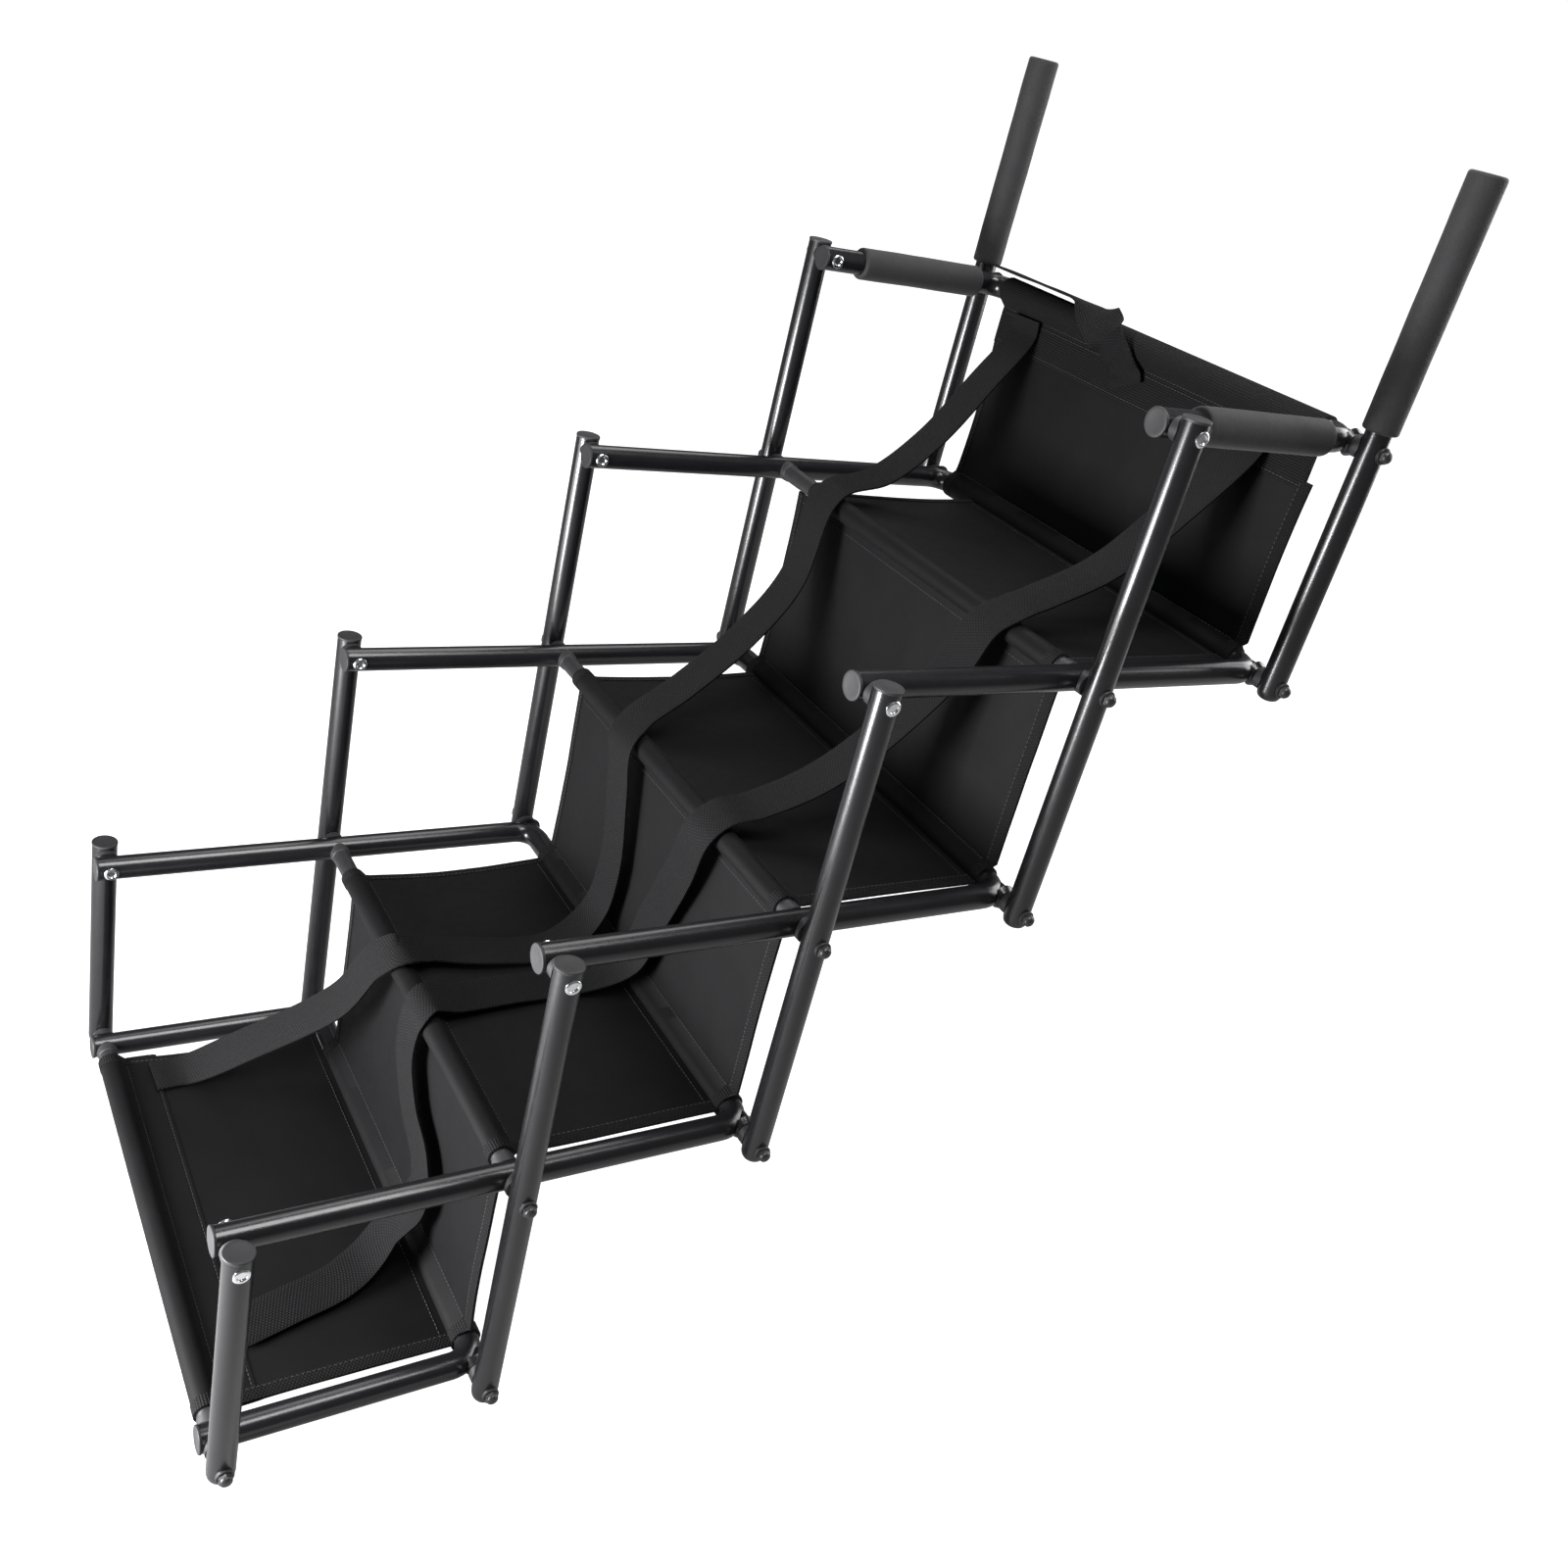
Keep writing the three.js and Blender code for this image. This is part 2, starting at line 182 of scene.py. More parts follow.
def paint():
    """Black powder coat: fine orange peel with a satin sheen."""
    made = Nodes("powder_coat")
    peel = made.noise(1400.0, 3.0)
    made.tint(made.noise(60.0), (0.005, 0.005, 0.006), (0.009, 0.009, 0.0105))
    made.link(made.spread(made.noise(220.0), 0.2, 0.29), "Roughness")
    made.set(Specular_IOR_Level=0.5, Metallic=0.0)
    made.bump(peel, 0.14, 0.0002)
    return made.material


def dull_steel():
    """Blackened bolts and rods."""
    made = Nodes("black_oxide")
    made.tint(made.noise(300.0), (0.008, 0.008, 0.009), (0.02, 0.02, 0.021))
    made.link(made.spread(made.noise(500.0), 0.34, 0.5), "Roughness")
    made.set(Specular_IOR_Level=0.5, Metallic=0.0)
    made.bump(made.noise(1800.0), 0.1, 0.0001)
    return made.material


def bright_steel():
    """Nickel-plated rivets, faintly scratched."""
    made = Nodes("bright_rivet")
    made.tint(made.noise(700.0, 4.0), (0.62, 0.63, 0.65), (0.86, 0.86, 0.88))
    made.link(made.spread(made.noise(900.0, 4.0), 0.14, 0.3), "Roughness")
    made.set(Metallic=1.0)
    made.bump(made.noise(2600.0), 0.06, 0.0001)
    return made.material


def moulded():
    """Spark-textured black plastic."""
    made = Nodes("moulded_plastic")
    made.tint(made.noise(150.0), (0.014, 0.014, 0.015), (0.022, 0.022, 0.024))
    made.link(made.spread(made.noise(900.0), 0.45, 0.62), "Roughness")
    made.set(Specular_IOR_Level=0.4)
    made.bump(made.noise(2200.0, 3.0), 0.22, 0.0002)
    return made.material


def grip_foam():
    """Closed-cell foam with a matt open skin."""
    made = Nodes("grip_foam")
    cells = made.node(
        "ShaderNodeTexVoronoi", {"Vector": made.place(), "Scale": 1500.0}
    ).outputs["Distance"]
    both = made.math("ADD", cells, made.noise(420.0, 4.0))
    made.tint(made.noise(90.0, 3.0), (0.013, 0.013, 0.014), (0.021, 0.021, 0.0225))
    made.link(made.spread(made.noise(260.0), 0.66, 0.8), "Roughness")
    made.set(Specular_IOR_Level=0.34, Sheen_Weight=0.05, Sheen_Roughness=0.5)
    made.bump(both, 0.3, 0.0004)
    return made.material


def weave(made, pitch, depth):
    """Height of a plain weave of threads that pitch metres apart."""
    along, across = made.weave_place()
    warp = made.math("SINE", made.math("MULTIPLY", along, 2 * math.pi / pitch))
    weft = made.math("SINE", made.math("MULTIPLY", across, 2 * math.pi / pitch))
    return made.math("MULTIPLY", made.math("MULTIPLY", warp, weft), depth)


def panel_cloth():
    """Tightly woven cloth with a smooth coating."""
    made = Nodes("coated_cloth")
    threads = weave(made, 0.0011, 0.5)
    mottle = made.noise(38.0, 4.0)
    made.tint(mottle, (0.0025, 0.0025, 0.0028), (0.0046, 0.0046, 0.0051))
    made.link(made.spread(made.noise(140.0, 3.0), 0.55, 0.7), "Roughness")
    made.set(Specular_IOR_Level=0.11, Sheen_Weight=0.01, Sheen_Roughness=0.4)
    made.bump(made.math("ADD", threads, made.noise(700.0)), 0.16, 0.0002)
    return made.material


def webbing():
    """Coarse ribbed webbing: ribs along it, crossed by staggered yarns, with painted shade in the
    grooves.
    """
    made = Nodes("webbing")
    along, across = made.weave_place()
    rib = 0.0017
    column = made.math("FLOOR", made.math("MULTIPLY", across, 1 / rib))
    stagger = made.math("MULTIPLY", column, math.pi)
    slant = made.math("MULTIPLY", across, math.pi / rib)
    ribs = made.math("ABSOLUTE", made.math("SINE", slant))
    turns = made.math("ADD", made.math("MULTIPLY", along, 2 * math.pi / 0.0022), stagger)
    yarns = made.spread(made.math("SINE", turns), 0.35, 1.0, -1.0, 1.0)
    height = made.math("MULTIPLY", ribs, yarns)
    # Colour follows the rib height: the grooves between ribs and yarns are darkened as painted shade.
    made.tint(height, (0.0012, 0.0012, 0.0014), (0.0098, 0.0098, 0.0106))
    made.link(made.spread(made.noise(400.0), 0.62, 0.8), "Roughness")
    made.set(Specular_IOR_Level=0.10, Sheen_Weight=0.01, Sheen_Roughness=0.5)
    made.bump(height, 0.75, 0.0006)
    return made.material


def sewing_thread():
    """Twisted polyester thread."""
    made = Nodes("thread")
    made.tint(made.noise(1500.0), (0.010, 0.010, 0.011), (0.03, 0.03, 0.032))
    made.link(made.spread(made.noise(1200.0), 0.45, 0.7), "Roughness")
    made.bump(made.noise(5000.0), 0.3, 0.0001)
    return made.material


PAINT = paint()
OXIDE = dull_steel()
BRIGHT = bright_steel()
PLASTIC = moulded()
FOAM = grip_foam()
CLOTH = panel_cloth()
WEBBING = webbing()
THREAD = sewing_thread()

# ---- mesh building ---------------------------------------------------------


class Shape:
    """Vertices in millimetres, faces, and each corner's cloth coordinates."""

    def __init__(self):
        self.points = []
        self.faces = []
        self.corners = []
        self.count = 0

    def loft(self, rings):
        """Skins closed rings of points [n, m, 3] and caps both ends."""
        rings = np.asarray(rings, float)
        n, m = rings.shape[:2]
        steps = np.linalg.norm(np.diff(rings.mean(1), axis=0), axis=1)
        along = np.concatenate([[0], np.cumsum(steps)])
        widest = rings[n // 2]
        loop = np.vstack([widest, widest[:1]])
        across = np.concatenate([[0], np.cumsum(np.linalg.norm(np.diff(loop, axis=0), axis=1))])
        base = self.count
        self.points.append(rings.reshape(-1, 3))
        self.count += n * m
        for i in range(n - 1):
            for j in range(m):
                k = (j + 1) % m
                low, high = base + i * m, base + (i + 1) * m
                self.faces.append((low + j, high + j, high + k, low + k))
                u0, u1, v0, v1 = along[i], along[i + 1], across[j], across[j + 1]
                self.corners.extend(((u0, v0), (u1, v0), (u1, v1), (u0, v1)))
        for ring, first in ((rings[0], base), (rings[-1], base + (n - 1) * m)):
            self.faces.append(tuple(range(first, first + m)))
            flat = ring - ring.mean(0)
            spans = np.ptp(flat, axis=0)
            keep = sorted(range(3), key=lambda axis: -spans[axis])[:2]
            self.corners.extend(map(tuple, flat[:, keep]))
        return self


def piece(name, shape, material, body, replaces=(), sharp=34.0):
    """Makes a Shape into an object that rides on a CAD body."""
    mesh = bpy.data.meshes.new(name)
    mesh.from_pydata(row(np.vstack(shape.points)).tolist(), [], shape.faces)
    layer = mesh.uv_layers.new(name="weave")
    layer.data.foreach_set("uv", (np.array(shape.corners) * MM).ravel().astype(np.float32))
    work = bmesh.new()
    work.from_mesh(mesh)
    bmesh.ops.recalc_face_normals(work, faces=work.faces)
    work.to_mesh(mesh)
    work.free()
    mesh.polygons.foreach_set("use_smooth", [True] * len(mesh.polygons))
    mesh.set_sharp_from_angle(angle=math.radians(sharp))
    mesh.materials.append(material)
    made = bpy.data.objects.new(name, mesh)
    bpy.context.scene.collection.objects.link(made)
    if replaces:
        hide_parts(*replaces)
    if isinstance(body, str):
        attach(made, body)
    return made


def unit(vector):
    return vector / np.linalg.norm(vector)


def circle(axis, sides):
    """Unit directions round an axis."""
    axis = unit(np.asarray(axis, float))
    side = unit(np.cross(axis, X if abs(axis[0]) < 0.9 else Y))
    turn = np.linspace(0, 2 * math.pi, sides, endpoint=False)[:, None]
    return np.cos(turn) * side + np.sin(turn) * np.cross(axis, side)


def turned(centre, axis, profile, sides=40):
    """Rings of a solid turned about an axis from (distance along, radius)."""
    around = circle(axis, sides)
    centre, axis = np.asarray(centre, float), unit(np.asarray(axis, float))
    return np.array([centre + axis * t + around * r for t, r in profile])


def tube(path, radius, sides=40):
    """Rings of a round tube along a path, without twist."""
    path = np.asarray(path, float)
    ahead = np.gradient(path, axis=0)
    ahead /= np.linalg.norm(ahead, axis=1)[:, None]
    side = unit(np.cross(ahead[0], X if abs(ahead[0][0]) < 0.9 else Y))
    turn = np.linspace(0, 2 * math.pi, sides, endpoint=False)[:, None]
    rings = []
    for point, direction in zip(path, ahead):
        side = unit(side - direction * side.dot(direction))
        rings.append(
            point + radius * (np.cos(turn) * side + np.sin(turn) * np.cross(direction, side))
        )
    return np.array(rings)


def pivot(i):
    """Where cell i's level rail crosses its post, on the centre plane."""
    return np.array((i * STEP, 0.0, i * STEP))


SIDES = (("l", 1), ("r", -1))
TREAD_BODY = ["base_frame", "tread_frame_1", "tread_frame_2", "tread_frame_3", "top_frame"]
POST_BODY = ["posts_0", "posts_1", "posts_2", "posts_3", "posts_4"]

# ---- level frames ----------------------------------------------------------


def frame_path(front, bar):
    """The U-bent tube's centre-line: in along one rail, across, and back out."""
    points = [(front, RAIL_Y), (bar - BEND_R - 1.0, RAIL_Y)]
    turns = np.linspace(0, math.pi / 2, 12)
    corner = [
        (bar - BEND_R + BEND_R * math.sin(t), RAIL_Y - BEND_R + BEND_R * math.cos(t))
        for t in turns
    ]
    points += corner + [(bar, RAIL_Y - BEND_R - 1.0)]
    points += [(x, -y) for x, y in reversed(points)]
    return np.array([(x, y, 0.0) for x, y in points])


def end_cap(shape, centre, axis):
    """A flat moulded cap with a small rounded flange, over a tube's end."""
    profile = [
        (-0.2, TUBE_R - 0.6),
        (-0.2, TUBE_R + 0.15),
        (0.1, TUBE_R + 0.3),
        (CAP_FLANGE - 0.5, TUBE_R + 0.3),
        (CAP_FLANGE - 0.15, TUBE_R + 0.05),
        (CAP_FLANGE, TUBE_R - 0.5),
        (CAP_FLANGE - 0.25, TUBE_R - 2.2),
        (CAP_FLANGE - 0.3, 1.0),
    ]
    shape.loft(turned(centre, axis, profile))


def build_frames():
    for i in range(STEPS + 1):
        front = -END_REACH if i == 0 else -STEP - END_REACH
        bar = 0.0 if i == STEPS else STEP
        shape = Shape()
        shape.loft(pivot(i) + tube(frame_path(front + CAP_FLANGE, bar), TUBE_R))
        for side in (1, -1):
            boss = [
                (RAIL_Y - 4.0, BOSS_R),
                (POST_Y - TUBE_R - 3.7, BOSS_R),
                (POST_Y - TUBE_R - 3.2, BOSS_R - 0.5),
            ]
            shape.loft(turned(pivot(i) + X * bar, Y * side, boss, 32))
            weld = [(RAIL_Y + 3.2, 8.6), (RAIL_Y + 4.4, 8.1), (RAIL_Y + 6.2, 7.0), (RAIL_Y + 7.0, 6.6)]
            shape.loft(turned(pivot(i) + X * bar, Y * side, weld, 32))
        piece(f"level_frame_{i}", shape, PAINT, TREAD_BODY[i], [f"frame_{i}"])
        caps = Shape()
        for side in (1, -1):
            end_cap(caps, pivot(i) + X * (front + CAP_FLANGE) + Y * side * RAIL_Y, -X)
        piece(f"rail_caps_{i}", caps, PLASTIC, TREAD_BODY[i])


# ---- posts, their caps, pins and spacers -------------------------------------


def post_profile(foot, top):
    """A post's outline: a rounded crimped foot, then plain tube."""
    low = foot - FOOT_DROP
    return [
        (low, 3.6),
        (low + 0.25, 5.0),
        (low + 1.2, 6.5),
        (low + 2.4, 7.3),
        (low + 4.2, 7.8),
        (low + 6.2, TUBE_R),
        (top, TUBE_R),
    ]


def saddle(shape, centre, side, over_rail, over_post):
    """A spacer between rail and post, with curved lips over either tube."""
    sides = 40
    turn = np.linspace(0, 2 * math.pi, sides, endpoint=False)
    reach = TUBE_R + SADDLE_GAP

    def ring(radius, share):
        x, z = radius * np.cos(turn), radius * np.sin(turn)
        near = np.full(sides, RAIL_Y + TUBE_R + 0.2)
        far = np.full(sides, POST_Y - TUBE_R - 0.2)
        if over_rail:
            near = RAIL_Y + np.sqrt(np.maximum(reach**2 - z**2, 0))
        if over_post:
            far = POST_Y - np.sqrt(np.maximum(reach**2 - x**2, 0))
        y = near + (far - near) * share
        return np.stack([x, y * side, z], 1) + centre

    rings = [ring(4.0, 0.0), ring(COLLAR_R - 0.4, 0.0)]
    rings += [ring(COLLAR_R, 0.08), ring(COLLAR_R, 0.5), ring(COLLAR_R, 0.92)]
    rings += [ring(COLLAR_R - 0.4, 1.0), ring(4.0, 1.0)]
    shape.loft(rings)


def bolt_head(shape, centre, side):
    """A washer and a domed cap nut on the outer face of a post."""
    start = POST_Y + TUBE_R - 0.9
    washer = [
        (start, HEAD_R - 0.2),
        (start + 1.9, HEAD_R),
        (start + 2.2, HEAD_R - 0.2),
        (start + 2.3, HEAD_R - 1.0),
    ]
    shape.loft(turned(centre, Y * side, washer, 36))
    base = start + 2.2
    hexagon = [(base, 4.0), (base + 0.2, 4.3), (base + 2.0, 4.3), (base + 2.5, 3.9)]
    shape.loft(turned(centre, Y * side, hexagon, 6))
    height = HEAD_Y - base
    dome = [(base + 1.5, 3.7)]
    dome += [
        (base + 2.2 + (height - 2.2) * math.sin(t), 3.7 * math.cos(t))
        for t in np.linspace(0, 1.45, 9)
    ]
    shape.loft(turned(centre, Y * side, dome, 36))


def rivet_face(shape, centre, direction, start):
    """A tubular rivet's rolled lip round a sunk middle."""
    lip = [(start - 3.0, 3.0)]
    lip += [(start, 4.5), (start + 0.45, 4.55), (start + 0.95, 4.1), (start + 1.2, 3.4)]
    lip += [(start + 1.1, 2.7), (start + 0.6, 2.25), (start - 1.2, 2.0), (start - 2.6, 1.9)]
    shape.loft(turned(centre, direction, lip, 36))


def build_posts():
    for i in range(STEPS + 1):
        body = POST_BODY[i]
        foot = 0.0 if i == 0 else -STEP
        top = GRIP_TOP - 4.0 if i == STEPS else STEP + END_REACH - CAP_FLANGE
        for name, side in SIDES:
            at = pivot(i) + Y * side * POST_Y
            tube_shape = Shape().loft(turned(at, Z, post_profile(foot, top)))
            piece(f"upright_{i}_{name}", tube_shape, PAINT, body, [f"post_{i}_{name}"])
            if i < STEPS:
                cap = Shape()
                end_cap(cap, at + Z * top, Z)
                cap_node = f"post_cap_{i}_{name}"
                piece(f"upright_cap_{i}_{name}", cap, PLASTIC, body, [cap_node])
                build_rivet(i, name, side)
            if i > 0:
                at_bend = pivot(i) - Z * STEP
                build_bolt(f"bend_bolt_{i}_{name}", at_bend, side, body, f"foot_bolt_{i}_{name}")
        if i == STEPS:
            for name, side in SIDES:
                build_bolt(f"top_pin_{name}", pivot(i), side, body, f"top_bolt_{name}")


def build_rivet(i, name, side):
    centre = pivot(i) + Z * STEP
    rivet = Shape()
    rivet_face(rivet, centre, Y * side, POST_Y + TUBE_R - 0.25)
    rivet_face(rivet, centre + Y * side * (RAIL_Y - TUBE_R + 0.25), -Y * side, 0.0)
    rivet.loft(turned(centre, Y * side, [(RAIL_Y - TUBE_R, SHANK_R), (POST_Y + TUBE_R, SHANK_R)], 24))
    piece(f"tube_rivet_{i}_{name}", rivet, BRIGHT, POST_BODY[i], [f"rivet_{i}_{name}"])
    spacer = Shape()
    saddle(spacer, centre, side, False, True)
    piece(f"rivet_spacer_{i}_{name}", spacer, PLASTIC, POST_BODY[i])


def build_bolt(label, centre, side, body, node):
    bolt = Shape()
    bolt_head(bolt, centre, side)
    bolt.loft(turned(centre, Y * side, [(BOLT_START_Y, SHANK_R), (POST_Y + TUBE_R, SHANK_R)], 24))
    piece(label, bolt, OXIDE, body, [node])
    spacer = Shape()
    saddle(spacer, centre, side, False, True)
    piece(label + "_spacer", spacer, PLASTIC, body)


def build_rods():
    for i in range(STEPS):
        rod = Shape()
        inside = RAIL_Y - 2.0
        rod.loft(turned(pivot(i), Y, [(-inside, ROD_R), (inside, ROD_R)]))
        outside = POST_Y + TUBE_R
        rod.loft(turned(pivot(i), Y, [(-outside, SHANK_R), (outside, SHANK_R)], 24))
        for side in (1, -1):
            bolt_head(rod, pivot(i), side)
        piece(f"nosing_rod_{i}", rod, OXIDE, TREAD_BODY[i], [f"cross_rod_{i}"])
        spacer = Shape()
        for side in (1, -1):
            saddle(spacer, pivot(i), side, True, False)
            inner_saddle(spacer, pivot(i), side)
        piece(f"rod_spacers_{i}", spacer, PLASTIC, TREAD_BODY[i])


def inner_saddle(shape, centre, side):
    """The collar on the rod that beds on the rail's inner face."""
    sides = 40
    turn = np.linspace(0, 2 * math.pi, sides, endpoint=False)
    reach = TUBE_R + SADDLE_GAP

    def ring(radius, inset):
        x, z = radius * np.cos(turn), radius * np.sin(turn)
        y = RAIL_Y - np.sqrt(reach**2 - z**2) - inset
        return np.stack([x, y * side, z], 1) + centre

    flat = RAIL_Y - TUBE_R - 4.2
    end = np.stack([6.6 * np.cos(turn), np.full(sides, flat * side), 6.6 * np.sin(turn)], 1)
    tip = np.stack([6.0 * np.cos(turn), np.full(sides, (flat - 0.5) * side), 6.0 * np.sin(turn)], 1)
    bed = [ring(4.0, 0.0), ring(COLLAR_R - 0.3, 0.0), ring(COLLAR_R, 0.5)]
    shape.loft(bed + [end + centre, tip + centre])


# ---- foam grips --------------------------------------------------------------


def foam_rings(centre, axis, start, end, closed):
    """A foam sleeve's rings: rounded shoulders and a slightly uneven skin."""
    edge = [(0.0, -1.6), (0.35, -0.7), (1.0, -0.2), (1.8, 0.0)]
    profile = [(start + t, FOAM_R + r) for t, r in edge]
    profile += [(t, FOAM_R) for t in np.linspace(start + 4.0, end - 4.0, 22)]
    profile += [(end - t, FOAM_R + r) for t, r in reversed(edge)]
    if closed:
        profile += [(end + 0.1, FOAM_R - 3.0), (end + 0.15, 1.0)]
    rings = turned(centre, axis, profile, 48)
    axis = unit(np.asarray(axis, float))
    middle = np.array([np.asarray(centre, float) + axis * t for t, _ in profile])[:, None]
    out = rings - middle
    for i in range(len(rings)):
        for j in range(rings.shape[1]):
            bumps = noise.noise(Vector(rings[i, j] * 0.05)) * 0.22
            out[i, j] *= 1 + (bumps - 0.08) / FOAM_R
    return middle + out


def build_foams():
    top = pivot(STEPS)
    for name, side in SIDES:
        at = top + Y * side * RAIL_Y
        rings = foam_rings(at, X, RAIL_GRIP[0] - STEP, RAIL_GRIP[1] - STEP, False)
        made = piece(
            f"rail_grip_{name}", Shape().loft(rings), FOAM, "top_frame", [f"rail_foam_{name}"]
        )
        at = top + Y * side * POST_Y
        rings = foam_rings(at, Z, HAND_GRIP_LOW, GRIP_TOP - 0.2, True)
        made = piece(
            f"hand_grip_{name}", Shape().loft(rings), FOAM, "posts_4", [f"post_foam_{name}"]
        )


# ---- cloth -------------------------------------------------------------------


class Panel:
    """A cloth panel that starts in a sleeve round a bar and runs away from it.

    It reaches near to one side and far to the other. The sleeve is closed by a
    seam just behind the bar.
    """

    def __init__(self, origin, along, normal, radius, reach, sides, seed, sag, hem=0.0):
        self.origin = np.asarray(origin, float)
        self.along = np.asarray(along, float)
        self.normal = np.asarray(normal, float)
        self.radius = radius
        self.seam = radius + SEAM_STEP
        self.reach = reach
        self.near, self.far = sides
        self.seed = seed
        self.sag = sag
        self.hem = hem

    def edges(self, a):
        """The cloth's two side edges at distance a: pulled in mid-way."""
        t = np.clip((a - self.radius) / (self.reach - self.radius), 0, 1)
        pull = 4 * EDGE_PULL * t * (1 - t)
        room = SLEEVE_HALF + (max(a - self.radius, 0.0) if a >= self.seam else 0.0)
        return -min(self.near - 0.3 * pull, room), min(self.far - pull, room)

    def drape(self, a, y):
        """How far the cloth stands off its flat plane."""
        t = min(max((a - self.seam) / (self.reach - self.seam), 0.0), 1.0)
        window = math.sin(math.pi * t) ** 0.8
        s = y / self.near
        slow = noise.noise(Vector((a * 0.011, y * 0.009, self.seed)))
        fold = noise.noise(Vector((a * 0.012, y * 0.030, self.seed + 7.3)))
        fine = noise.noise(Vector((a * 0.035, y * 0.06, self.seed + 19.1)))
        edge = 1.0 - 0.5 * s * s
        return window * (self.sag * edge + 1.3 * slow + 0.6 * fold + 0.22 * fine)

    def point(self, a, y, off):
        moved = off + self.drape(a, y)
        return self.origin + self.along * a + Y * y + self.normal * moved

    def thickness(self, a):
        """Half the cloth's thickness: double in a hem, pinched at a seam."""
        pinch = 0.25 * math.exp(-(((a - self.seam) / 1.0) ** 2))
        thick = HALF_CLOTH - pinch
        if self.hem:
            thick += 0.55 / (1 + math.exp((a - self.hem) / 0.35))
            thick -= 0.25 * math.exp(-(((a - self.hem + 2.5) / 0.8) ** 2))
        return thick

    def section(self, extra=0.0, stop=None):
        """The closed outline, as (along, off), from the far end round the bar."""
        seam = self.seam
        stop = self.reach if stop is None else stop
        r = self.radius + extra
        open_angle = math.acos(min(r / (seam + 0.6), 0.98))
        flat = list(np.linspace(stop, seam + 3.0, 38)) if stop > seam + 4 else []
        if self.hem:
            flat = sorted(set(flat) | set(np.linspace(self.hem - 4, self.hem + 1.5, 12)), reverse=True)
        flat += [seam + 1.6, seam + 0.8, seam]
        top = [(a, self.thickness(a) + extra) for a in flat]
        arc = [(r * math.cos(t), r * math.sin(t)) for t in np.linspace(open_angle, math.pi, 18)]
        upper = top + arc
        return upper + [(a, -off) for a, off in reversed(upper[:-1])]

    def skin(self):
        """The whole panel as one closed thin skin."""
        outline = self.section()
        rings = []
        for s in np.linspace(0, 1, 77):
            ring = []
            for a, off in outline:
                low, high = self.edges(a)
                ring.append(self.point(a, low + (high - low) * s, off))
            rings.append(ring)
        return Shape().loft(rings)

    def edge_tape(self, shape):
        """Binding tape folded over both side edges, from the seam to the far end."""
        for side, wide in ((0, NEAR_BINDING), (1, FAR_BINDING)):
            out_way = 1 if side else -1
            rings = []
            for a in np.linspace(self.seam, self.reach, 44):
                y = self.edges(a)[side]
                thick = self.thickness(a)
                out = thick + 0.55
                loop = [
                    (-wide, thick - 0.2),
                    (-wide, out - 0.15),
                    (0.3 - wide, out),
                    (0.0, out),
                    (0.6, out - 0.3),
                    (0.85, 0.0),
                    (0.6, -out + 0.3),
                    (0.0, -out),
                    (0.3 - wide, -out),
                    (-wide, -out + 0.15),
                    (-wide, -thick + 0.2),
                ]
                rings.append([self.point(a, y + out_way * p, off) for p, off in loop])
            shape.loft(rings)

    def sleeve_tape(self, shape):
        """Tape round each end of the sleeve."""
        low, high = self.edges(0.0)
        for end, out_way in ((low, -1), (high, 1)):
            rings = []
            for p, extra in ((-7.5, 0.1), (-7.3, 0.45), (0.5, 0.45), (0.7, 0.1)):
                outline = self.section(extra, self.seam + 1.5)
                rings.append([self.point(a, end + out_way * p, off) for a, off in outline])
            shape.loft(rings)

    def seam_across(self, shape, a, margin=6.0):
        """A row of stitches across both faces of the panel at distance a."""
        low, high = self.edges(a)
        for face in (1, -1):
            line = [
                self.point(a, y, face * (self.thickness(a) + 0.12))
                for y in np.linspace(low + margin, high - margin, 90)
            ]
            stitch_row(shape, line)

    def seam_edges(self, shape):
        """A row of stitches down each binding, on both faces."""
        for side, wide in ((0, NEAR_BINDING), (1, FAR_BINDING)):
            inward = (wide - 1.2) * (-1 if side else 1)
            for face in (1, -1):
                line = [
                    self.point(a, self.edges(a)[side] + inward, face * (self.thickness(a) + 0.62))
                    for a in np.linspace(self.seam + 2.0, self.reach - 1.0, 60)
                ]
                stitch_row(shape, line)


def stitch_row(shape, line, length=2.3, gap=0.9, radius=0.27):
    """Short thread stitches laid end to end along a line."""
    line = np.asarray(line, float)
    steps = np.linalg.norm(np.diff(line, axis=0), axis=1)
    far = np.concatenate([[0], np.cumsum(steps)])
    at = np.arange(gap, far[-1] - length, length + gap)
    for start in at:
        ends = [
            np.array([np.interp(start + t, far, line[:, axis]) for axis in range(3)])
            for t in (0.0, length)
        ]
        axis = unit(ends[1] - ends[0])
        half = [(0.0, 0.06), (0.3, radius * 0.85), (length / 2, radius)]
        profile = half + [(length - 0.3, radius * 0.85), (length, 0.06)]
        shape.loft(turned(ends[0], axis, profile, 6))


def build_treads():
    for i in range(STEPS):
        reach = STEP - BAR_SLEEVE_R + 0.3
        hem = FRONT_HEM if i == 0 else 0.0
        sides = (TREAD_NEAR, TREAD_FAR[i])
        cloth = Panel(pivot(i), X, Z, ROD_SLEEVE_R, reach, sides, 3.1 + 5.7 * i, -1.6, hem)
        body = TREAD_BODY[i]
        made = piece(f"tread_cloth_{i}", cloth.skin(), CLOTH, body, [f"tread_{i}"], 60)
        tape = Shape()
        cloth.edge_tape(tape)
        cloth.sleeve_tape(tape)
        bound = piece(f"tread_binding_{i}", tape, WEBBING, body, sharp=40)
        sewn = Shape()
        cloth.seam_across(sewn, cloth.seam)
        cloth.seam_across(sewn, reach - 5.0)
        if hem:
            cloth.seam_across(sewn, hem - 2.5)
        cloth.seam_edges(sewn)
        thread = piece(f"tread_stitching_{i}", sewn, THREAD, body)


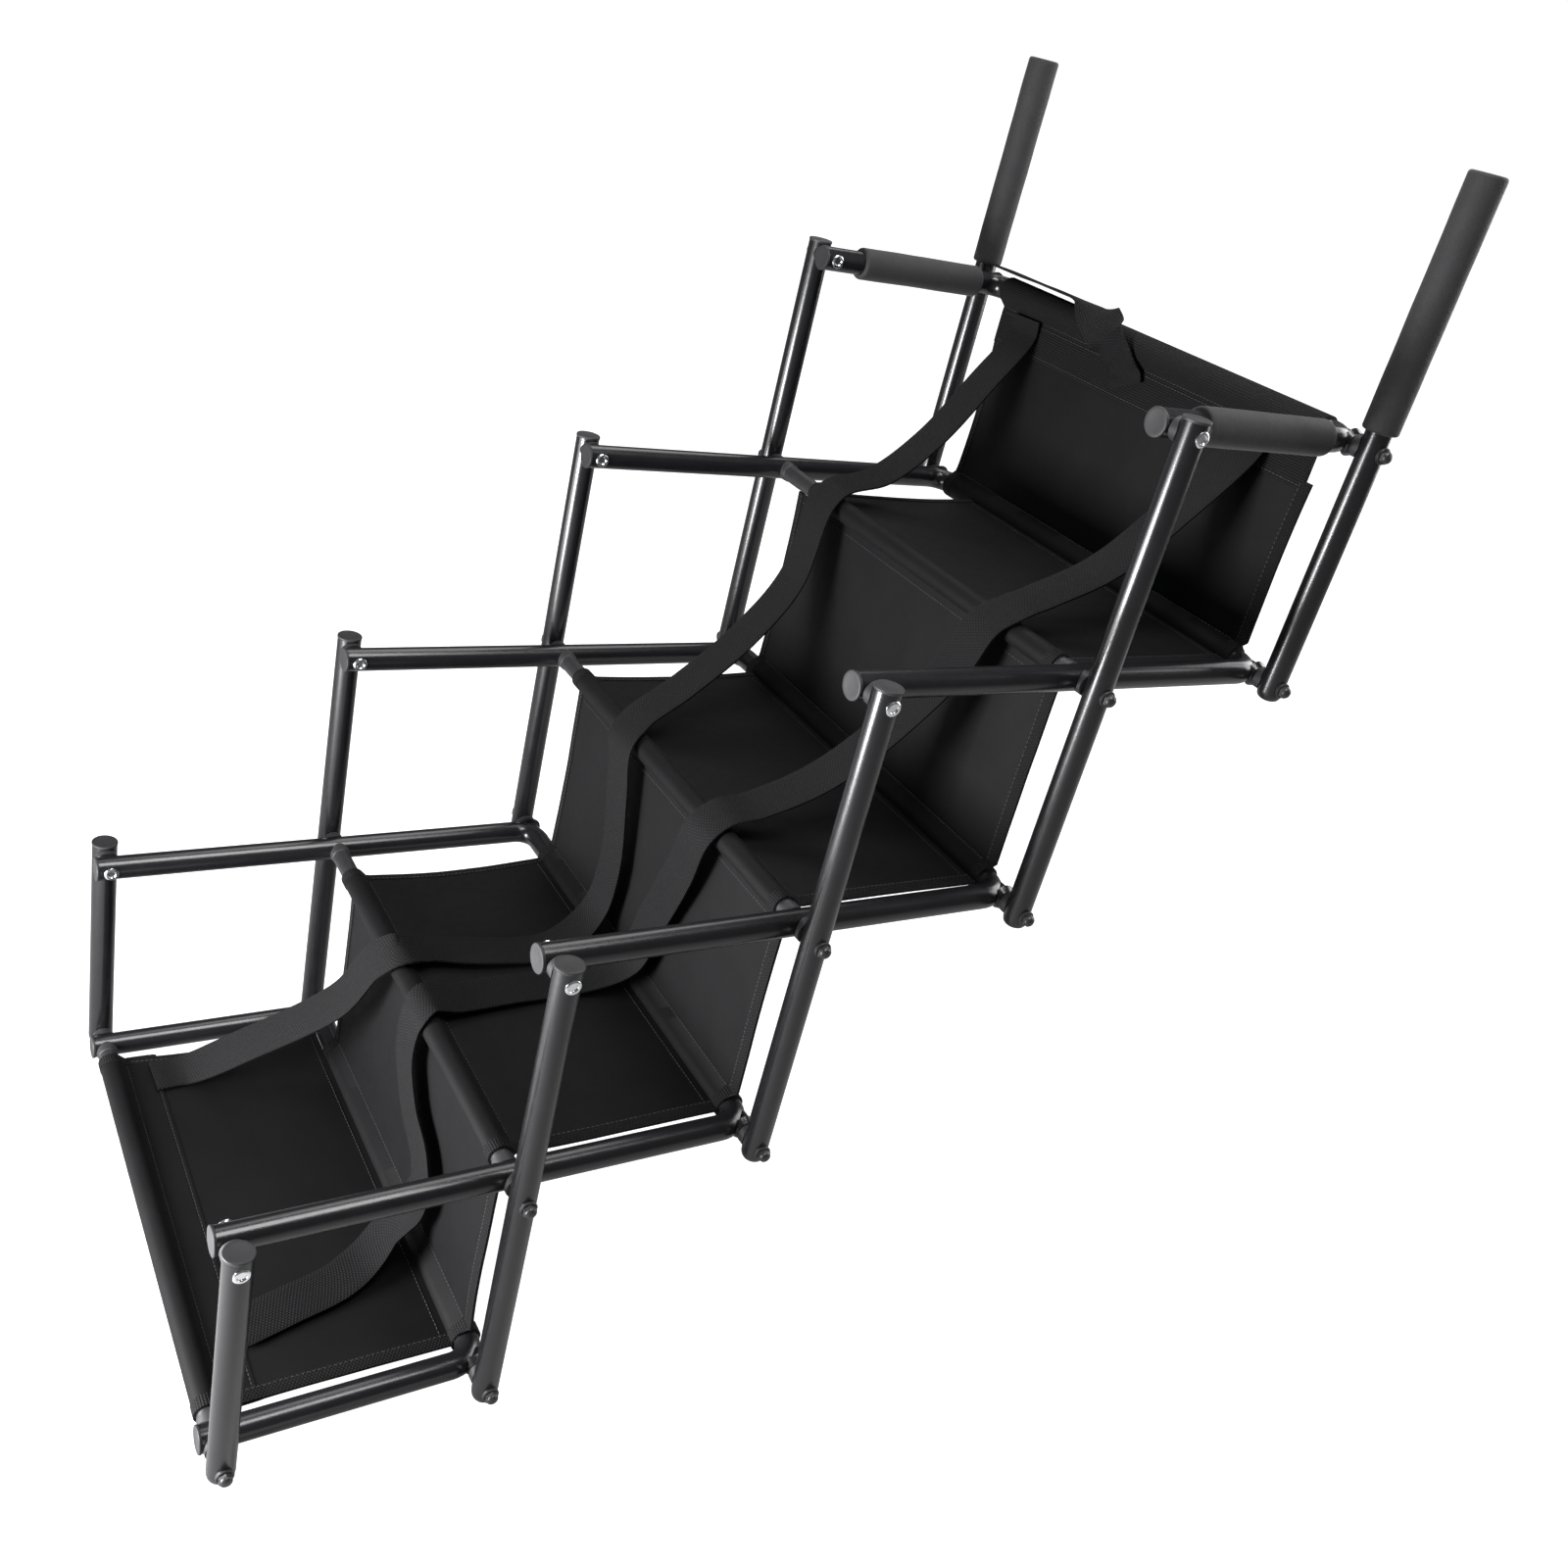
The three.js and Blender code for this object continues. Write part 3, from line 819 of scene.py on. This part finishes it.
def build_risers():
    for i in range(1, STEPS + 1):
        foot = pivot(i) - Z * STEP
        reach = STEP - ROD_SLEEVE_R + 0.2 if i < STEPS else STEP - TOP_HEM + 6.0
        sides = (RISER_NEAR, RISER_FAR[i])
        cloth = Panel(foot, Z, -X, BAR_SLEEVE_R, reach, sides, 40.3 + 3.9 * i, 0.8)
        body = POST_BODY[i]
        made = piece(f"riser_cloth_{i}", cloth.skin(), CLOTH, body, [f"riser_{i}"], 60)
        tape = Shape()
        cloth.edge_tape(tape)
        cloth.sleeve_tape(tape)
        bound = piece(f"riser_binding_{i}", tape, WEBBING, body, sharp=40)
        sewn = Shape()
        cloth.seam_across(sewn, cloth.seam)
        cloth.seam_edges(sewn)
        if i < STEPS:
            cloth.seam_across(sewn, reach - 6.0)
        thread = piece(f"riser_stitching_{i}", sewn, THREAD, body)
        extra = [bound, thread]
        if i == STEPS:
            extra += build_top_hem()


def build_top_hem():
    """The wide webbing hem that carries the top edge round the top bar."""
    sides = (SLEEVE_HALF, SLEEVE_HALF)
    hem = Panel(pivot(STEPS), -Z, -X, BAR_SLEEVE_R + 0.3, TOP_HEM, sides, 91.0, 0.0)

    def ripple(a, y):
        if a <= hem.seam:
            return 0.0
        return 0.35 * noise.noise(Vector((a * 0.03, y * 0.05, 3.3))) * min(a / TOP_HEM, 1)

    hem.drape = ripple
    hem.edges = lambda a: (-SLEEVE_HALF, SLEEVE_HALF)
    hem.thickness = lambda a: 1.35 - 0.3 * math.exp(-(((a - hem.seam) / 1.2) ** 2))
    band = piece("top_hem", hem.skin(), WEBBING, "posts_4", sharp=60)
    sewn = Shape()
    for a in (hem.seam, hem.seam + 3.0, TOP_HEM - 2.5):
        hem.seam_across(sewn, a, margin=3.0)
    thread = piece("top_hem_stitching", sewn, THREAD, "posts_4")
    return [band, thread]


# ---- straps ------------------------------------------------------------------

# The routes of part.mjs, but for a gentler twist in the closing strap: x, y, z,
# and where given the direction of the strap's width.
LEFT_STRAP = [
    (24, 127, 3.4),
    (46.3, 127, 5.5),
    (81.3, 100, 43.6),
    (126, 60, 104),
    (141.2, 38, 152),
    (153, 28, 165),
    (172.7, 33, 160),
    (210.8, 26, 157),
    (259, 21, 158),
    (289.1, 28, 176),
    (294.2, 25, 220),
    (293.1, 34, 275),
    (293.6, 42, 306),
    (306, 50, 318.4),
    (340, 58, 337),
    (389, 71, 369),
    (428, 84, 408),
    (445, 95, 460),
    (459, 100, 471.4),
    (496, 104, 480),
    (538, 110.5, 509),
    (578, 118, 553),
    (607.7, 124, 588),
    (607.7, 124.5, 600),
]
RIGHT_STRAP = [
    (26.1, -109, 3.4),
    (57, -101, 3.6),
    (92, -92, 4.5),
    (112, -82, 9),
    (127, -74, 20),
    (137, -75, 34),
    (141, -83, 60),
    (142, -73, 79),
    (142, -48, 95),
    (142, -29, 122),
    (142.6, -27, 146),
    (145, -28, 158),
    (153, -25, 165),
    (172.7, -22, 160),
    (210.8, -18, 157),
    (259, -19, 158),
    (289.1, -30, 178),
    (294.2, -42, 220),
    (293.1, -62, 270),
    (293.6, -72, 306),
    (306, -73, 318.4),
    (327.4, -76, 324.5),
    (363, -81, 342),
    (393, -86.5, 369.5),
    (433, -96, 427),
    (445, -100, 460),
    (459, -104, 471.4),
    (481, -105, 480.5),
    (525, -106, 501.5),
    (566, -108, 541),
    (601, -109.5, 580),
    (607.7, -110, 594),
]
CLOSING_STRAP = [
    (608.4, 9, 586),
    (607.6, 13, 594),
    (603, 19, 603),
    (599.6, 30, 612),
    (601.8, 46, 620.4, (-0.55, 0.4, -0.65)),
    (607, 63, 625.5, (-0.88, 0.2, 0.1)),
    (608, 80, 626.2, (-0.985, 0, 0.17)),
    (608, 105, 625.7, (-0.985, 0, 0.17)),
    (608, 135, 625.7, (-0.985, 0, 0.17)),
    (608, 160, 624.9, (-0.985, 0, 0.17)),
]


def smooth_line(points, per_span=10):
    """A centripetal Catmull-Rom line through the points, with its parameter."""
    p = np.asarray([point[:3] for point in points], float)
    p = np.vstack([2 * p[0] - p[1], p, 2 * p[-1] - p[-2]])
    line, where = [], []
    for k in range(1, len(p) - 2):
        d = [max(np.linalg.norm(p[k + j] - p[k + j - 1]) ** 0.5, 1e-4) for j in range(3)]
        t1 = (p[k] - p[k - 1]) / d[0] - (p[k + 1] - p[k - 1]) / (d[0] + d[1]) + (p[k + 1] - p[k]) / d[1]
        t2 = (p[k + 1] - p[k]) / d[1] - (p[k + 2] - p[k]) / (d[1] + d[2]) + (p[k + 2] - p[k + 1]) / d[2]
        t1, t2 = t1 * d[1], t2 * d[1]
        last = k == len(p) - 3
        for w in np.linspace(0, 1, per_span + 1 if last else per_span, endpoint=last):
            c2 = -3 * p[k] + 3 * p[k + 1] - 2 * t1 - t2
            c3 = 2 * p[k] - 2 * p[k + 1] + t1 + t2
            line.append(p[k] + t1 * w + c2 * w * w + c3 * w**3)
            where.append(k - 1 + w)
    return np.array(line), np.array(where)


def ribbon(points, width, per_span=10):
    """Rings of a flat strap along its route, and their centres and parameters."""
    line, where = smooth_line(points, per_span)
    ahead = np.gradient(line, axis=0)
    ahead /= np.linalg.norm(ahead, axis=1)[:, None]
    given = [np.array(point[3], float) if len(point) > 3 else Y for point in points]
    half, thick = width / 2, STRAP_T / 2
    loop = [(-half, 0.0), (-half + 0.25, thick * 0.8)]
    loop += [(w, thick) for w in np.linspace(-half + 0.9, half - 0.9, 9)]
    loop += [(half - 0.25, thick * 0.8), (half, 0.0), (half - 0.25, -thick * 0.8)]
    loop += [(w, -thick) for w in np.linspace(half - 0.9, -half + 0.9, 9)]
    loop += [(-half + 0.25, -thick * 0.8)]
    rings = []
    for centre, direction, t in zip(line, ahead, where):
        step = min(int(t), len(points) - 2)
        across = given[step] * (1 - t + step) + given[step + 1] * (t - step)
        across = unit(across - direction * across.dot(direction))
        up = np.cross(direction, across)
        rings.append([centre + across * w + up * h for w, h in loop])
    return np.array(rings), line, where


# Where each carrying strap is cut, by point number, and the two bodies that
# each length lies between.
FAR_CUTS = [0, 4, 7, 10, 14.5, 16, 19.5, 23]
NEAR_CUTS = [0, 11, 14, 17, 21.5, 24, 27.5, 31]
STRAP_LENGTHS = [
    ("base_frame", "posts_1", ["tread_cloth_0"]),
    ("posts_1", "tread_frame_1", ["tread_cloth_1"]),
    ("tread_frame_1", "posts_2", ["tread_cloth_1", "riser_cloth_2"]),
    ("posts_2", "tread_frame_2", ["tread_cloth_2"]),
    ("tread_frame_2", "posts_3", ["tread_cloth_2"]),
    ("posts_3", "tread_frame_3", ["tread_cloth_3"]),
    ("tread_frame_3", "posts_4", ["top_hem"]),
]


def build_carry_strap(label, points, cuts, node):
    rings, line, where = ribbon(points, STRAP_W)
    for k, (first, second, rests_on) in enumerate(STRAP_LENGTHS):
        inside = np.nonzero((where >= cuts[k] - 1e-6) & (where <= cuts[k + 1] + 1e-6))[0]
        part = Shape().loft(rings[inside])
        made = piece(f"{label}_{k}", part, WEBBING, None, [node], sharp=50)
        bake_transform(made)


def build_closing_strap():
    rings, line, _ = ribbon(CLOSING_STRAP, STRAP_W, 14)
    strip = Shape().loft(rings)
    made = piece("closing_strap_web", strip, WEBBING, "posts_4", ["closing_strap"], 50)


# ---- floor and light -----------------------------------------------------------


# Two lamps low at the front left, two soft boxes overhead and one behind: name,
# place, the point it faces, size in metres and watts.
LAMPS = (
    ("low", (-1.05, 0.15, 0.03), (-0.75, 0.1, 0.5), 0.9, 22.0),
    ("key", (-0.85, -0.10, 0.20), (-0.30, -0.24, 0.10), 0.3, 26.0),
    ("box", (0.05, -0.45, 2.0), (-0.05, -0.1, 0.2), 0.9, 34.0),
    ("bank", (0.5, 0.9, 1.9), (0.0, 0.0, 0.3), 1.0, 12.0),
    ("back", (1.7, -0.2, 0.9), (0.2, 0.0, 0.35), 1.2, 24.0),
)


def build_stage():
    size = 30.0
    mesh = bpy.data.meshes.new("floor")
    corners = [(-size, -size, 0), (size, -size, 0), (size, size, 0), (-size, size, 0)]
    mesh.from_pydata(corners, [], [(0, 1, 2, 3)])
    floor = bpy.data.objects.new("floor", mesh)
    bpy.context.scene.collection.objects.link(floor)
    # To the lens the floor and the sky are plain white; the object sees a dim room.
    made = Nodes("pale_floor")
    made.tint(made.noise(0.8), (0.30, 0.30, 0.30), (0.34, 0.34, 0.34))
    made.set(Roughness=0.9, Specular_IOR_Level=0.1, Emission_Color=(1, 1, 1, 1))
    seen = made.node("ShaderNodeLightPath").outputs["Is Camera Ray"]
    made.link(made.spread(seen, 0.10, 1.1), "Emission Strength")
    mesh.materials.append(made.material)

    world = bpy.data.worlds.new("studio")
    world.use_nodes = True
    tree = world.node_tree
    seen = tree.nodes.new("ShaderNodeLightPath").outputs["Is Camera Ray"]
    spread = tree.nodes.new("ShaderNodeMapRange")
    spread.inputs["To Min"].default_value = 0.13
    tree.links.new(seen, spread.inputs["Value"])
    tree.links.new(spread.outputs[0], tree.nodes["Background"].inputs["Strength"])
    tree.nodes["Background"].inputs["Color"].default_value = (1, 1, 1, 1)
    bpy.context.scene.world = world

    for name, at, aim, size, watts in LAMPS:
        data = bpy.data.lights.new(name, "AREA")
        data.size = size
        data.energy = watts
        lamp = bpy.data.objects.new(name, data)
        lamp.location = at
        lamp.rotation_euler = (Vector(aim) - Vector(at)).to_track_quat("-Z", "Y").to_euler()
        bpy.context.scene.collection.objects.link(lamp)
    bpy.context.scene.view_settings.view_transform = "Standard"


build_frames()
build_posts()
build_rods()
build_foams()
build_treads()
build_risers()
build_carry_strap("carry_strap_far", LEFT_STRAP, FAR_CUTS, "carry_strap_l")
build_carry_strap("carry_strap_near", RIGHT_STRAP, NEAR_CUTS, "carry_strap_r")
build_closing_strap()
build_stage()
